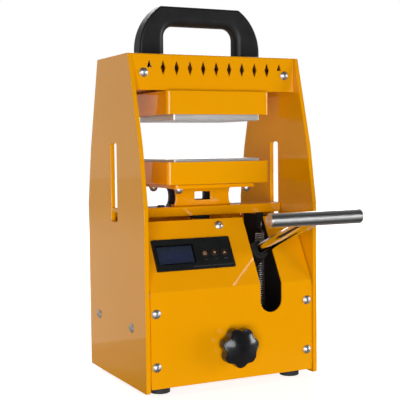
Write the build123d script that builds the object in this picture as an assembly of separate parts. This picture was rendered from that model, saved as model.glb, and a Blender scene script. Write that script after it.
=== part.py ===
"""Manual hydraulic two-plate heat press for the table top.

Two steel side plates carry a fixed heated platen at the top. A hydraulic jack on the base lifts a
carriage with the lower heated platen against it. A T-handled lever works the pump through a slot
in the front panel, a star knob opens the release valve, and two springs draw the carriage down.

Units are millimetres. +X is to the right, +Y is to the back and +Z is up. The model is drawn
about the vertical plane midway between the front and back edges of the side plates, and save()
moves it so that the origin is under the middle of the whole object, on the table.
"""
from build123d import *
import os
from math import atan2, cos, hypot, pi, radians, sin, tan

# ---------------------------------------------------------------- driving dimensions
WIDTH = 200.0            # over the side plates
DEPTH = 160.0            # side plates, front to back
PLATE = 4.5              # side plate thickness
PLATE_FOOT = 4.0         # gap between the side plates and the table
FRAME_TOP = 344.0        # top edge of the side plates
STROKE = 40.0            # carriage travel, which closes the platens

HALF = WIDTH / 2
INNER = HALF - PLATE     # inner faces of the side plates
FRONT = -DEPTH / 2       # front edges of the side plates
SHEET = 1.5              # panels and covers
FIT = 0.05               # radial clearance of a running fit
LOOSE = 0.1              # radial clearance of a bolt in its hole

# side plate outline: insets of the front and back edges at three heights
SHOULDER_Z, WAIST_Z = 188.0, 248.0
WAIST_INSET, TOP_INSET = 10.5, 36.0
SLOT_WIDTH, SLOT_LOW, SLOT_HIGH = 17.0, 170.5, 253.5

# base
BASE_LOW, BASE_THICK = 8.0, 5.0
BASE_TOP = BASE_LOW + BASE_THICK
FOOT_RADIUS, FOOT_X, FOOT_Y = 10.5, 77.0, 60.0

# front panel
PANEL_FACE = FRONT + 1.0             # outer face of the upright part
PANEL_HALF = 94.0
FOLD_Z = 104.6
PANEL_TOP_Y, PANEL_TOP_Z = -41.1, 172.3
SLANT = atan2(PANEL_TOP_Y - PANEL_FACE, PANEL_TOP_Z - FOLD_Z)
SLANT_LENGTH = hypot(PANEL_TOP_Y - PANEL_FACE, PANEL_TOP_Z - FOLD_Z)

# lever
LEVER_X = 44.0
PIVOT_Y, PIVOT_Z = -5.0, 119.0
BAR_Y, BAR_Z = -164.0, 178.5
BAR_RADIUS, BAR_LENGTH, ARM_RADIUS = 7.0, 104.0, 6.5
LEVER_LENGTH = hypot(PIVOT_Y - BAR_Y, BAR_Z - PIVOT_Z)
LEVER_ANGLE = atan2(BAR_Z - PIVOT_Z, PIVOT_Y - BAR_Y)
CRANK = 20.0                         # pivot to plunger pin
CRANK_DROP = radians(18.0)           # plunger pin below the arm's line
CHEEK_IN, CHEEK_OUT = 5.0, 9.0       # lever cheeks, from the lever's middle plane
SLOT_HALF = 13.0                     # half width of the lever slot in the panel
SLOT_END_Z = 87.1                    # centre of the slot's round end

# release valve
VALVE_Z = 43.0
KNOB_RADIUS, KNOB_WAVE, KNOB_LOBES, KNOB_TURN = 19.4, 1.6, 7, radians(-93.0)
KNOB_BACK, KNOB_FRONT, KNOB_DOME = FRONT - 2.5, FRONT - 19.3, 36.0
STEM_RADIUS = 4.0

# carriage
CARRIAGE_TOP, CARRIAGE_THICK = 184.6, 4.0
CARRIAGE_UNDER = CARRIAGE_TOP - CARRIAGE_THICK
CARRIAGE_HALF_X, CARRIAGE_HALF_Y = 94.5, 15.0
FLANGE_LOW, FLANGE_THICK = 174.6, 3.0
WEB_HALF, WEB_WAIST, WEB_THICK = 34.5, 32.0, 3.0
WEB_FRONT_Y, WEB_REAR_Y = -8.5, 13.0
MOUNT_LOW, MOUNT_THICK = 205.0, 3.9

# heated platens, in their covers
COVER_X, COVER_Y = 60.0, 50.0
PLATEN_X, PLATEN_Y, PLATEN_THICK = 51.0, 45.0, 15.0
LOWER_COVER_LOW, LOWER_COVER_HEIGHT, LOWER_PLATEN_TOP = 209.5, 23.5, 236.0
UPPER_COVER_LOW, UPPER_COVER_HEIGHT = 282.2, 24.7
UPPER_PLATEN_LOW = LOWER_PLATEN_TOP + STROKE
BOLT_X, BOLT_Y = 40.5, 33.0

# top
BEAM_LOW, BEAM_THICK = 308.0, 6.0
FASCIA_Y, FASCIA_LOW = 43.8, 307.0
VENT_PITCH, VENT_Z, VENT_TALL, VENT_WIDE = 15.3, 329.8, 15.8, 5.5
HANDLE_HALF, HANDLE_GAP_HALF, HANDLE_THICK = 72.0, 42.3, 19.0
HANDLE_TOP, HANDLE_GAP_TOP = 398.0, 377.5
HANDLE_BEND, HANDLE_SHOULDER = 55.0, 46.6    # outer bends: radius, and where the flat top ends
HANDLE_GRIP_ROUND = 8.5                      # rounding of the edges round the hand gap
HANDLE_BOLT_X = (HANDLE_HALF + HANDLE_GAP_HALF) / 2

# jack
JACK_TOP = 52.0                      # top of the jack's base casting
CYLINDER_RADIUS, CYLINDER_TOP = 25.5, 148.0
RAM_RADIUS, RAM_LOW = 11.0, 62.0
PUMP_Y, PUMP_RADIUS, PUMP_TOP = PIVOT_Y - 17.4, 12.0, 92.0
PLUNGER_RADIUS = 5.0

# return springs
SPRING_X, SPRING_Y, SPRING_RADIUS, SPRING_WIRE = 70.5, -10.0, 5.5, 2.0
SPRING_LOW, SPRING_HIGH = 56.0, 152.0

# control unit on the slanted part of the panel: across, and up the slope
BEZEL_X, BEZEL_UP, BEZEL_PROUD, BEZEL_DEEP = (-82.0, 7.2), (21.5, 56.0), 1.8, 5.0
WINDOW_X, WINDOW_UP = (-79.0, -36.6), (28.1, 49.6)
KEY_XS, KEY_UP, KEY_RADIUS = (-25.2, -13.8, -2.4), 38.4, 3.9

# power inlet with its switch, on the rear panel
INLET_X, INLET_Z = -58.0, 60.0

# the middle of the object's footprint, lever handle included, lies this far in front of the
# side plates' middle plane
BACK_MOST = -FRONT + 2.0
FOOTPRINT_SHIFT = -((BAR_Y - BAR_RADIUS) + BACK_MOST) / 2


# ---------------------------------------------------------------- helpers
def block(x, y, z):
    """A box from its (low, high) limits along X, Y and Z."""
    size = [limits[1] - limits[0] for limits in (x, y, z)]
    middle = [(limits[0] + limits[1]) / 2 for limits in (x, y, z)]
    return Pos(*middle) * Box(*size)


def aligned(solid, point, direction):
    """Move a solid drawn along +Z from the origin so that it starts at point along direction."""
    return Plane(origin=point, z_dir=direction).location * solid


def rod(point, direction, radius, length):
    """A round bar that starts at point and runs along direction."""
    bar = Cylinder(radius, length, align=(Align.CENTER, Align.CENTER, Align.MIN))
    return aligned(bar, point, direction)


def upright(x, y, low, high, radius):
    """A vertical round bar between two heights."""
    return rod((x, y, low), (0, 0, 1), radius, high - low)


def outline_yz(points, x_low, x_high):
    """A closed outline of (y, z) points, made solid from x_low to x_high."""
    face = make_face(Polyline(*points, close=True))
    return extrude(Plane.YZ.offset(x_low) * face, amount=x_high - x_low)


def mirrored_x(solid):
    """The same piece on the other side of the press."""
    return mirror(solid, about=Plane.YZ)


def button_screw(point, direction, length=9.0):
    """An M5 button-head screw whose head stands on point and looks along direction."""
    radius, height, rim, socket = 4.75, 2.75, 0.6, 1.7
    rise = height - rim
    dome = (radius**2 + rise**2) / (2 * rise)
    head = Cylinder(radius, height, align=(Align.CENTER, Align.CENTER, Align.MIN))
    head &= Pos(0, 0, height - dome) * Sphere(dome)
    key = extrude(RegularPolygon(socket, 6), amount=height)
    head -= Pos(0, 0, height - 1.5) * key
    shank = Pos(0, 0, -length) * Cylinder(
        2.5, length, align=(Align.CENTER, Align.CENTER, Align.MIN)
    )
    return aligned(head + shank, point, direction)


def screw_hole(point, direction, depth=12.0):
    """The cutter for one button screw's shank, from just outside its face inwards."""
    inward = [-component for component in direction]
    start = [p + d for p, d in zip(point, direction)]
    return rod(start, inward, 2.5 + LOOSE, depth)


def on_slant(x, up, out=0.0):
    """A point on the slanted part of the front panel: across, up the slope, out of the face."""
    return (
        x,
        PANEL_FACE + up * sin(SLANT) - out * cos(SLANT),
        FOLD_Z + up * cos(SLANT) + out * sin(SLANT),
    )


SLANT_OUT = (0, -cos(SLANT), sin(SLANT))
SLANT_PLANE = Plane(origin=on_slant(0, 0), x_dir=(1, 0, 0), z_dir=SLANT_OUT)


def slant_block(x, up, out, corner=0.0):
    """A box laid on the slanted panel, with rounded corners in its plane."""
    face = Pos((x[0] + x[1]) / 2, (up[0] + up[1]) / 2) * Rectangle(x[1] - x[0], up[1] - up[0])
    if corner:
        face = fillet(face.vertices(), corner)
    solid = extrude(face, amount=out[1] - out[0])
    return SLANT_PLANE.location * (Pos(0, 0, out[0]) * solid)


def lever_point(along, above):
    """(y, z) of a point given along the lever's arm from its pivot, and above the arm."""
    c, s = cos(LEVER_ANGLE), sin(LEVER_ANGLE)
    return (PIVOT_Y - along * c + above * s, PIVOT_Z + along * s + above * c)


def save(name, shape):
    """Write one node, moved so that the origin is the middle of the footprint."""
    solids = shape.solids() if hasattr(shape, "solids") else shape
    moved = [Pos(0, FOOTPRINT_SHIFT, 0) * solid for solid in solids]
    whole = moved[0] if len(moved) == 1 else Compound(children=moved)
    export_step(whole, os.path.join("parts", name + ".step"))


# ---------------------------------------------------------------- screws that hold sheets
FRONT_SCREWS = [
    ((x, PANEL_FACE, z), (0, -1, 0)) for x in (-88.0, 88.0) for z in (29.8, 83.4)
] + [(on_slant(0.5, 70.0), SLANT_OUT)]
REAR_SCREWS = [((x, -PANEL_FACE, z), (0, 1, 0)) for x in (-88.0, 88.0) for z in (30.0, 150.0)]
SIDE_SCREWS = [
    ((side * HALF, y, 65.0), (side, 0, 0)) for side in (-1, 1) for y in (-44.0, 50.0)
]
COVER_SCREWS = [
    ((x, side * FASCIA_Y, 324.6), (0, side, 0)) for x in (-82.9, 82.9) for side in (-1, 1)
]
SHEET_SCREWS = FRONT_SCREWS + REAR_SCREWS + SIDE_SCREWS + COVER_SCREWS


def drilled(solid):
    """Drill the holes of every sheet screw that passes through a solid."""
    for point, direction in SHEET_SCREWS:
        solid -= screw_hole(point, direction)
    return solid


def screws():
    return [button_screw(point, direction) for point, direction in SHEET_SCREWS]


# ---------------------------------------------------------------- frame
def side_plate(side):
    """One side plate: parallel below the shoulder, tapering to the top, with a guide slot."""
    half = DEPTH / 2
    right_edge = [
        (half, PLATE_FOOT),
        (half, SHOULDER_Z),
        (half - WAIST_INSET, WAIST_Z),
        (half - TOP_INSET, FRAME_TOP),
    ]
    left_edge = [(-y, z) for y, z in reversed(right_edge)]
    face = make_face(Polyline(*right_edge, *left_edge, close=True))
    corners = face.vertices()
    face = fillet(corners.group_by(Axis.Y)[0] + corners.group_by(Axis.Y)[-1], 2.5)
    tall = SLOT_HIGH - SLOT_LOW
    slot = Pos(0, (SLOT_LOW + SLOT_HIGH) / 2) * RectangleRounded(SLOT_WIDTH, tall, 3.0)
    plate = extrude(Plane.YZ.offset(INNER) * (face - slot), amount=PLATE)
    return drilled(plate if side > 0 else mirrored_x(plate))


def foot_places():
    return [(x, y) for x in (-FOOT_X, FOOT_X) for y in (-FOOT_Y, FOOT_Y)]


JACK_BOLTS = [(x, y) for x in (-28.0, 52.0) for y in (-28.0, 28.0)]


def base_plate():
    """The floor of the press, with turned-up sides that the side plates are screwed to."""
    depth_half, side_half = 76.0, 58.0
    plate = block((-INNER, INNER), (-depth_half, depth_half), (BASE_LOW, BASE_TOP))
    for side in (-1, 1):
        x = sorted((side * INNER, side * (INNER - 3.0)))
        plate += block(x, (-side_half, side_half), (BASE_TOP, 78.0))
    for x, y in foot_places():
        plate -= upright(x, y, BASE_LOW - 1, BASE_TOP + 1, 2.0 + LOOSE)
    for x, y in JACK_BOLTS:
        plate -= upright(x, y, BASE_LOW - 1, BASE_TOP + 1, 4.0 + LOOSE)
    return drilled(plate)


def rubber_feet():
    """Round feet, hollowed from below for their screws."""
    foot = Cylinder(FOOT_RADIUS, BASE_LOW, align=(Align.CENTER, Align.CENTER, Align.MIN))
    foot = fillet(foot.edges().group_by(Axis.Z)[0], 1.0)
    foot -= upright(0, 0, -1, 5.0, 4.3)
    foot -= upright(0, 0, 4.0, BASE_LOW + 1, 2.0 + LOOSE)
    return [Pos(x, y, 0) * foot for x, y in foot_places()]


def foot_screws():
    """Pan-head screws up through the feet, each with its nut on the base plate."""
    head = upright(0, 0, 2.6, 5.0, 3.9)
    shank = upright(0, 0, 5.0, BASE_TOP + 4.5, 2.0)
    nut = Pos(0, 0, BASE_TOP) * extrude(RegularPolygon(4.0, 6), amount=3.2)
    return [Pos(x, y, 0) * (head + shank + nut) for x, y in foot_places()]


def mounting_brackets():
    """Angle brackets welded inside the side plates for the panels and the top cover."""
    pieces = []
    back_of_panel = PANEL_FACE + SHEET
    for side in (-1, 1):
        leg_x = sorted((side * INNER, side * (INNER - 2.0)))
        tab_x = sorted((side * INNER, side * 79.0))
        top_x = sorted((side * INNER, side * 79.5))
        fronts = block(leg_x, (back_of_panel, -60.0), (BASE_TOP, 100.0))
        fronts += block(tab_x, (back_of_panel, back_of_panel + 2.0), (BASE_TOP, 100.0))
        backs = block(leg_x, (60.0, -back_of_panel), (BASE_TOP, 165.0))
        backs += block(tab_x, (-back_of_panel - 2.0, -back_of_panel), (BASE_TOP, 165.0))
        inside = FASCIA_Y - SHEET
        tops = block(leg_x, (-inside, inside), (316.0, 338.0))
        for y in ((-inside, 2.0 - inside), (inside - 2.0, inside)):
            tops += block(top_x, y, (316.0, 338.0))
        pieces += [drilled(fronts), drilled(backs), drilled(tops)]
    rail = slant_block((-INNER, 12.0), (62.0, 77.0), (-SHEET - 2.0, -SHEET))
    pieces.append(drilled(rail))
    return pieces


def top_beam():
    """The thick cross plate that takes the pressing force between the side plates."""
    beam = block((-INNER, INNER), (-40.0, 40.0), (BEAM_LOW, BEAM_LOW + BEAM_THICK))
    for x in (-BOLT_X, BOLT_X):
        for y in (-BOLT_Y, BOLT_Y):
            beam -= upright(x, y, BEAM_LOW - 1, BEAM_LOW + BEAM_THICK + 1, 2.5 + LOOSE)
    for x in (-HANDLE_BOLT_X, HANDLE_BOLT_X):
        beam -= upright(x, 0, BEAM_LOW - 1, BEAM_LOW + BEAM_THICK + 1, 3.0 + LOOSE)
    return beam


def vent_cutters():
    """Upright diamond vents in the fascia. The two beside the screws keep their upper half."""
    half_tall, half_wide = VENT_TALL / 2, VENT_WIDE / 2
    sides = (half_wide, 0), (0, half_tall), (-half_wide, 0)
    upper = make_face(Polyline(*sides, close=True))
    diamond = make_face(Polyline(*sides, (0, -half_tall), close=True))
    cutters = []
    for i in range(-5, 6):
        shape = upper if abs(i) == 5 else diamond
        place = Plane(origin=(i * VENT_PITCH, 0, VENT_Z), x_dir=(1, 0, 0), z_dir=(0, -1, 0))
        cutters.append(extrude(place.location * shape, amount=60))
    return cutters


def top_cover():
    """The sheet cap over the beam: a fascia with vents in front, a plain one behind, and a lid."""
    outer = block((-95.0, 95.0), (-FASCIA_Y, FASCIA_Y), (FASCIA_LOW, FRAME_TOP))
    folds = outer.edges().filter_by(Axis.X).group_by(Axis.Z)[-1]
    outer = fillet(folds, 2.0)
    inside = FASCIA_Y - SHEET
    hollow = block((-96.0, 96.0), (-inside, inside), (FASCIA_LOW - 1, FRAME_TOP - SHEET))
    cover = outer - hollow
    for cutter in vent_cutters():
        cover -= cutter
    for x in (-HANDLE_BOLT_X, HANDLE_BOLT_X):
        cover -= upright(x, 0, FRAME_TOP - 5, FRAME_TOP + 1, 3.0 + LOOSE)
    return drilled(cover)


def carry_handle():
    """The moulded carrying handle: a bridge with large outer bends and a square hand gap."""
    bend_x = HANDLE_HALF - HANDLE_BEND
    rise = (HANDLE_BEND**2 - (HANDLE_SHOULDER - bend_x) ** 2) ** 0.5
    bend_z = HANDLE_TOP - rise
    middle = atan2(rise, HANDLE_SHOULDER - bend_x) / 2
    on_bend = (bend_x + HANDLE_BEND * cos(middle), bend_z + HANDLE_BEND * sin(middle))
    right = [(HANDLE_HALF, FRAME_TOP), (HANDLE_HALF, bend_z), on_bend, (HANDLE_SHOULDER, HANDLE_TOP)]
    left = [(-x, z) for x, z in reversed(right)]
    outline = make_face(
        [Line(right[0], right[1]), ThreePointArc(*right[1:]), Line(right[3], left[0]),
         ThreePointArc(*left[:3]), Line(left[2], left[3]), Line(left[3], right[0])]
    )
    outline = fillet(outline.vertices().group_by(Axis.Y)[-1], 3.0)
    gap_tall = HANDLE_GAP_TOP - FRAME_TOP
    gap = Pos(0, FRAME_TOP) * RectangleRounded(2 * HANDLE_GAP_HALF, 2 * gap_tall, 12.0)
    place = Plane(origin=(0, HANDLE_THICK / 2, 0), x_dir=(1, 0, 0), z_dir=(0, -1, 0))
    handle = extrude(place.location * (outline - gap), amount=HANDLE_THICK)

    def is_inner(edge):
        middle = edge.center()
        return abs(middle.X) < HANDLE_GAP_HALF + 1 and middle.Z < HANDLE_GAP_TOP + 1

    def face_edges(inner):
        """The edges of the handle's two flat faces: those round the gap, or the outer ones."""
        edges = [edge for edge in handle.edges() if edge.center().Z > FRAME_TOP + 0.1]
        edges = [edge for edge in edges if abs(edge.center().Y) > HANDLE_THICK / 2 - 0.1]
        return [edge for edge in edges if is_inner(edge) == inner]

    handle = fillet(face_edges(False), 2.5)
    handle = fillet(face_edges(True), HANDLE_GRIP_ROUND)
    for x in (-HANDLE_BOLT_X, HANDLE_BOLT_X):
        handle -= upright(x, 0, FRAME_TOP - 1, 366.0, 3.0 + LOOSE)
    return handle


def handle_bolts():
    """Long studs from the beam up into the handle's legs, each with a hex nut on the beam."""
    top = BEAM_LOW + BEAM_THICK
    stud = upright(0, 0, BEAM_LOW, 364.0, 3.0)
    nut = Pos(0, 0, top) * extrude(RegularPolygon(5.8, 6), amount=5.0)
    return [Pos(x, 0, 0) * (stud + nut) for x in (-HANDLE_BOLT_X, HANDLE_BOLT_X)]


# ---------------------------------------------------------------- panels
def panel_profile():
    """(y, z) outline of the bent front sheet: upright, then slanting back to its top edge."""
    t = SHEET
    return [
        (PANEL_FACE, BASE_LOW),
        (PANEL_FACE, FOLD_Z),
        (PANEL_TOP_Y, PANEL_TOP_Z),
        (PANEL_TOP_Y + t * cos(SLANT), PANEL_TOP_Z - t * sin(SLANT)),
        (PANEL_FACE + t, FOLD_Z - t * tan(SLANT / 2)),
        (PANEL_FACE + t, BASE_LOW),
    ]


def front_panel():
    """The bent front sheet with the lever slot, the valve hole and the control cut-out."""
    panel = outline_yz(panel_profile(), -PANEL_HALF, PANEL_HALF)
    folds = panel.edges().filter_by(Axis.X).sort_by_distance((0, PANEL_FACE, FOLD_Z))
    panel = fillet(folds[0], 3.0)
    slot_x = (LEVER_X - SLOT_HALF, LEVER_X + SLOT_HALF)
    panel -= block(slot_x, (-100.0, -20.0), (SLOT_END_Z, 200.0))
    panel -= rod((LEVER_X, -100.0, SLOT_END_Z), (0, 1, 0), SLOT_HALF, 60.0)
    panel -= rod((0, -100.0, VALVE_Z), (0, 1, 0), 6.5, 60.0)
    cut_x = (BEZEL_X[0] + 2.0, BEZEL_X[1] - 2.0)
    cut_up = (BEZEL_UP[0] + 2.0, BEZEL_UP[1] - 2.0)
    panel -= slant_block(cut_x, cut_up, (-10.0, 10.0))
    return drilled(panel)


def rear_panel():
    """The flat back sheet with cooling slots and the power cut-out."""
    panel = block((-PANEL_HALF, PANEL_HALF), (-PANEL_FACE - SHEET, -PANEL_FACE), (BASE_LOW, 173.0))
    for i in range(7):
        z = 106.0 + 8.0 * i
        slot = block((-34.0, 34.0), (70.0, 90.0), (z - 1.6, z + 1.6))
        panel -= fillet(slot.edges().filter_by(Axis.Y), 1.5)
    panel -= block(
        (INLET_X - 13.9, INLET_X + 13.9), (70.0, 90.0), (INLET_Z - 23.9, INLET_Z + 23.9)
    )
    return drilled(panel)


def wiring_guard():
    """An upright black sheet that keeps the wiring away from the lever and the right spring."""
    outline = [(-70.0, BASE_TOP), (-70.0, 95.0), (-31.0, 169.0), (57.0, 169.0), (57.0, BASE_TOP)]
    guard = outline_yz(outline, 87.0, 88.2)
    return guard + block((80.0, 88.2), (-50.0, 50.0), (BASE_TOP, BASE_TOP + 1.2))


# ---------------------------------------------------------------- control unit
def control_bezel():
    """The black front of the control unit: a plate with a rim through the panel."""
    bezel = slant_block(BEZEL_X, BEZEL_UP, (0.0, BEZEL_PROUD), corner=1.5)
    rim_x = (BEZEL_X[0] + 2.3, BEZEL_X[1] - 2.3)
    rim_up = (BEZEL_UP[0] + 2.3, BEZEL_UP[1] - 2.3)
    rim = slant_block(rim_x, rim_up, (-BEZEL_DEEP, 0.0))
    rim -= slant_block(
        (rim_x[0] + 1.5, rim_x[1] - 1.5), (rim_up[0] + 1.5, rim_up[1] - 1.5), (-9.0, -0.01)
    )
    bezel += rim
    bezel -= slant_block(WINDOW_X, WINDOW_UP, (BEZEL_PROUD - 1.2, 9.0))
    shelf_x = (WINDOW_X[0] + 1.5, WINDOW_X[1] - 1.5)
    shelf_up = (WINDOW_UP[0] + 1.5, WINDOW_UP[1] - 1.5)
    bezel -= slant_block(shelf_x, shelf_up, (-9.0, 9.0))
    for x in KEY_XS:
        bezel -= rod(on_slant(x, KEY_UP, -9.0), SLANT_OUT, KEY_RADIUS + 0.3, 20.0)
    return bezel


def display_window():
    """The clear window over the display, let into the bezel."""
    return slant_block(WINDOW_X, WINDOW_UP, (BEZEL_PROUD - 1.2, BEZEL_PROUD - 0.2))


def control_board():
    """The circuit board with the display module and three key switches."""
    x = (BEZEL_X[0] + 4.0, BEZEL_X[1] - 4.0)
    up = (BEZEL_UP[0] + 4.0, BEZEL_UP[1] - 4.0)
    board = slant_block(x, up, (-4.9, -3.4))
    glass_x = (WINDOW_X[0] + 2.0, WINDOW_X[1] - 2.0)
    glass_up = (WINDOW_UP[0] + 2.0, WINDOW_UP[1] - 2.0)
    board += slant_block(glass_x, glass_up, (-3.4, 0.3))
    for key_x in KEY_XS:
        board += rod(on_slant(key_x, KEY_UP, -3.4), SLANT_OUT, 2.0, 1.2)
    return board


def control_key(x):
    """One round key: a cap through the bezel with a flange that keeps it in."""
    cap = rod(on_slant(x, KEY_UP, -1.6), SLANT_OUT, KEY_RADIUS, 1.6 + BEZEL_PROUD + 0.5)
    rim = cap.edges().filter_by(GeomType.CIRCLE).sort_by(Axis.Z)
    cap = fillet(rim[-1], 0.4)
    return cap + rod(on_slant(x, KEY_UP, -1.6), SLANT_OUT, KEY_RADIUS + 1.0, 1.0)


# ---------------------------------------------------------------- power inlet
SWITCH_Z = INLET_Z + 13.0
SOCKET_Z = INLET_Z - 9.0
ROCKER_Y = -PANEL_FACE + 2.0
ROCKER_PIVOT_Y = ROCKER_Y - 1.4


def power_inlet():
    """A moulded mains inlet with a three-pin socket, and the seat of the rocker switch."""
    face = -PANEL_FACE

    def part_of_inlet(half_x, y, middle_z, half_z):
        x = (INLET_X - half_x, INLET_X + half_x)
        return block(x, y, (middle_z - half_z, middle_z + half_z))

    flange = part_of_inlet(15.5, (face, face + 2.0), INLET_Z, 26.0)
    flange = fillet(flange.edges().filter_by(Axis.Y), 2.0)
    body = part_of_inlet(13.5, (face - 26.0, face), INLET_Z, 23.5) + flange
    socket = part_of_inlet(12.0, (face - 15.0, face + 3.0), SOCKET_Z, 8.5)
    body -= chamfer(socket.edges().filter_by(Axis.Y).group_by(Axis.Z)[0], 4.5)
    for dx, dz in ((-7.0, 1.0), (0.0, 5.0), (7.0, 1.0)):
        pin_x = (INLET_X + dx - 1.0, INLET_X + dx + 1.0)
        pin_z = (SOCKET_Z + dz - 2.0, SOCKET_Z + dz + 2.0)
        body += block(pin_x, (face - 15.0, face - 1.0), pin_z)
    body -= part_of_inlet(10.0, (face - 12.0, face + 3.0), SWITCH_Z, 7.0)
    return body - rod((INLET_X - 11.2, ROCKER_PIVOT_Y, SWITCH_Z), (1, 0, 0), 1.0 + FIT, 22.4)


def power_rocker():
    """The rocker: a shallow vee that tips on the pin across it."""
    half, crown = 6.3, radians(7.0)
    top = half * sin(crown)
    profile = [
        (half, top), (0.0, 0.9), (-half, -top), (-half + 1.2, -5.0), (half - 1.2, -5.0),
    ]
    points = [(ROCKER_Y - 1.2 + out, SWITCH_Z + up) for up, out in profile]
    rocker = outline_yz(points, INLET_X - 9.4, INLET_X + 9.4)
    return rocker + rod((INLET_X - 11.0, ROCKER_PIVOT_Y, SWITCH_Z), (1, 0, 0), 1.0, 22.0)


# ---------------------------------------------------------------- jack
def jack_base():
    """The cast foot of the jack, with the release valve's bore at its front."""
    base = block((-38.0, 62.0), (-38.0, 38.0), (BASE_TOP, JACK_TOP))
    base = fillet(base.edges().filter_by(Axis.Z), 9.0)
    base = fillet(base.faces().sort_by(Axis.Z)[-1].edges(), 2.0)
    base -= rod((0, -39.0, VALVE_Z), (0, 1, 0), STEM_RADIUS + FIT, 30.0)
    for x, y in JACK_BOLTS:
        base -= upright(x, y, BASE_TOP - 1, 38.0, 4.0 + LOOSE)
    return base


def jack_bolts():
    """Bolts up through the base plate into the jack's foot."""
    return [
        upright(x, y, BASE_LOW, 36.0, 4.0) + upright(x, y, BASE_LOW - 4.0, BASE_LOW, 6.5)
        for x, y in JACK_BOLTS
    ]


def jack_cylinder():
    """The reservoir and cylinder of the jack, round the ram."""
    cylinder = upright(0, 0, JACK_TOP, CYLINDER_TOP, CYLINDER_RADIUS)
    cylinder = fillet(cylinder.edges().group_by(Axis.Z)[-1], 3.0)
    return cylinder - upright(0, 0, JACK_TOP + 5, CYLINDER_TOP + 1, RAM_RADIUS + 3.0)


def jack_gland_nut():
    """The hexagon nut that closes the cylinder and guides the ram."""
    nut = Pos(0, 0, CYLINDER_TOP) * extrude(RegularPolygon(23.0, 6), amount=10.0)
    return nut - upright(0, 0, CYLINDER_TOP - 1, CYLINDER_TOP + 11, RAM_RADIUS + FIT)


def pump_cylinder():
    """The pump's barrel beside the jack."""
    barrel = upright(LEVER_X, PUMP_Y, JACK_TOP, PUMP_TOP, PUMP_RADIUS)
    barrel = chamfer(barrel.edges().group_by(Axis.Z)[-1], 1.5)
    return barrel - upright(LEVER_X, PUMP_Y, JACK_TOP + 4, PUMP_TOP + 1, PLUNGER_RADIUS + FIT)


def fulcrum_bracket():
    """Two upright cheeks on a block, which carry the lever's pin."""
    inner, outer = 10.0, 15.0
    bracket = block((LEVER_X - outer, LEVER_X + outer), (-7.5, 7.0), (JACK_TOP, 62.0))
    for side in (-1, 1):
        x = sorted((LEVER_X + side * inner, LEVER_X + side * outer))
        cheek = block(x, (-12.0, 6.0), (JACK_TOP, PIVOT_Z + 10.0))
        cheek = fillet(cheek.edges().filter_by(Axis.X).group_by(Axis.Z)[-1], 8.0)
        bracket += cheek
    return bracket - rod((0, PIVOT_Y, PIVOT_Z), (1, 0, 0), 4.0 + LOOSE, 80.0)


def lever_pin():
    """The pin that the lever turns on, with a head and a groove for its clip."""
    start = LEVER_X - 17.5
    pin = rod((start, PIVOT_Y, PIVOT_Z), (1, 0, 0), 4.0, 36.0)
    pin += rod((start, PIVOT_Y, PIVOT_Z), (1, 0, 0), 6.5, 2.4)
    ring = rod((LEVER_X + 16.0, PIVOT_Y, PIVOT_Z), (1, 0, 0), 5.0, 1.0)
    return pin - (ring - rod((LEVER_X + 16.0, PIVOT_Y, PIVOT_Z), (1, 0, 0), 3.2, 1.0))


# ---------------------------------------------------------------- carriage
def jack_ram():
    return upright(0, 0, RAM_LOW, CARRIAGE_UNDER - 10.0, RAM_RADIUS)


def ram_saddle():
    """The cap on the ram, which bears on the carriage."""
    saddle = upright(0, 0, CARRIAGE_UNDER - 10.0, CARRIAGE_UNDER, 11.5)
    return chamfer(saddle.edges().group_by(Axis.Z)[0], 1.0)


GROMMETS = [(-47.5, -1.5), (-43.0, 7.0)]
GROMMET_RADIUS, GROMMET_BORE = 3.6, 1.6


def carriage_plate():
    """The cross channel that rides in the side slots on its tabs."""
    top = (CARRIAGE_UNDER, CARRIAGE_TOP)
    limits_x, limits_y = (-CARRIAGE_HALF_X, CARRIAGE_HALF_X), (-CARRIAGE_HALF_Y, CARRIAGE_HALF_Y)
    plate = block(limits_x, limits_y, (FLANGE_LOW, CARRIAGE_TOP))
    plate = fillet(plate.edges().filter_by(Axis.Y).group_by(Axis.Z)[0], 3.0)
    plate = fillet(plate.edges().filter_by(Axis.X).group_by(Axis.Z)[-1], 1.5)
    inside = CARRIAGE_HALF_Y - FLANGE_THICK
    plate -= block((-120.0, 120.0), (-inside, inside), (FLANGE_LOW - 1, CARRIAGE_UNDER))
    for side in (-1, 1):
        x = sorted((side * (CARRIAGE_HALF_X - 3.0), side * (HALF - 1.0)))
        plate += block(x, (-8.0, 8.0), top)
    for x, y in GROMMETS:
        plate -= upright(x, y, CARRIAGE_UNDER - 1, CARRIAGE_TOP + 1, GROMMET_RADIUS - 1.0)
    return plate


def cable_grommets():
    """Rubber grommets for the lower heater's leads, in the carriage plate."""
    ring = upright(0, 0, CARRIAGE_UNDER - 1.2, CARRIAGE_TOP + 1.2, GROMMET_RADIUS - 1.0 - LOOSE)
    ring += upright(0, 0, CARRIAGE_TOP, CARRIAGE_TOP + 1.2, GROMMET_RADIUS)
    ring += upright(0, 0, CARRIAGE_UNDER - 1.2, CARRIAGE_UNDER, GROMMET_RADIUS)
    ring -= upright(0, 0, CARRIAGE_UNDER - 3, CARRIAGE_TOP + 3, GROMMET_BORE)
    return [Pos(x, y, 0) * ring for x, y in GROMMETS]


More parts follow.
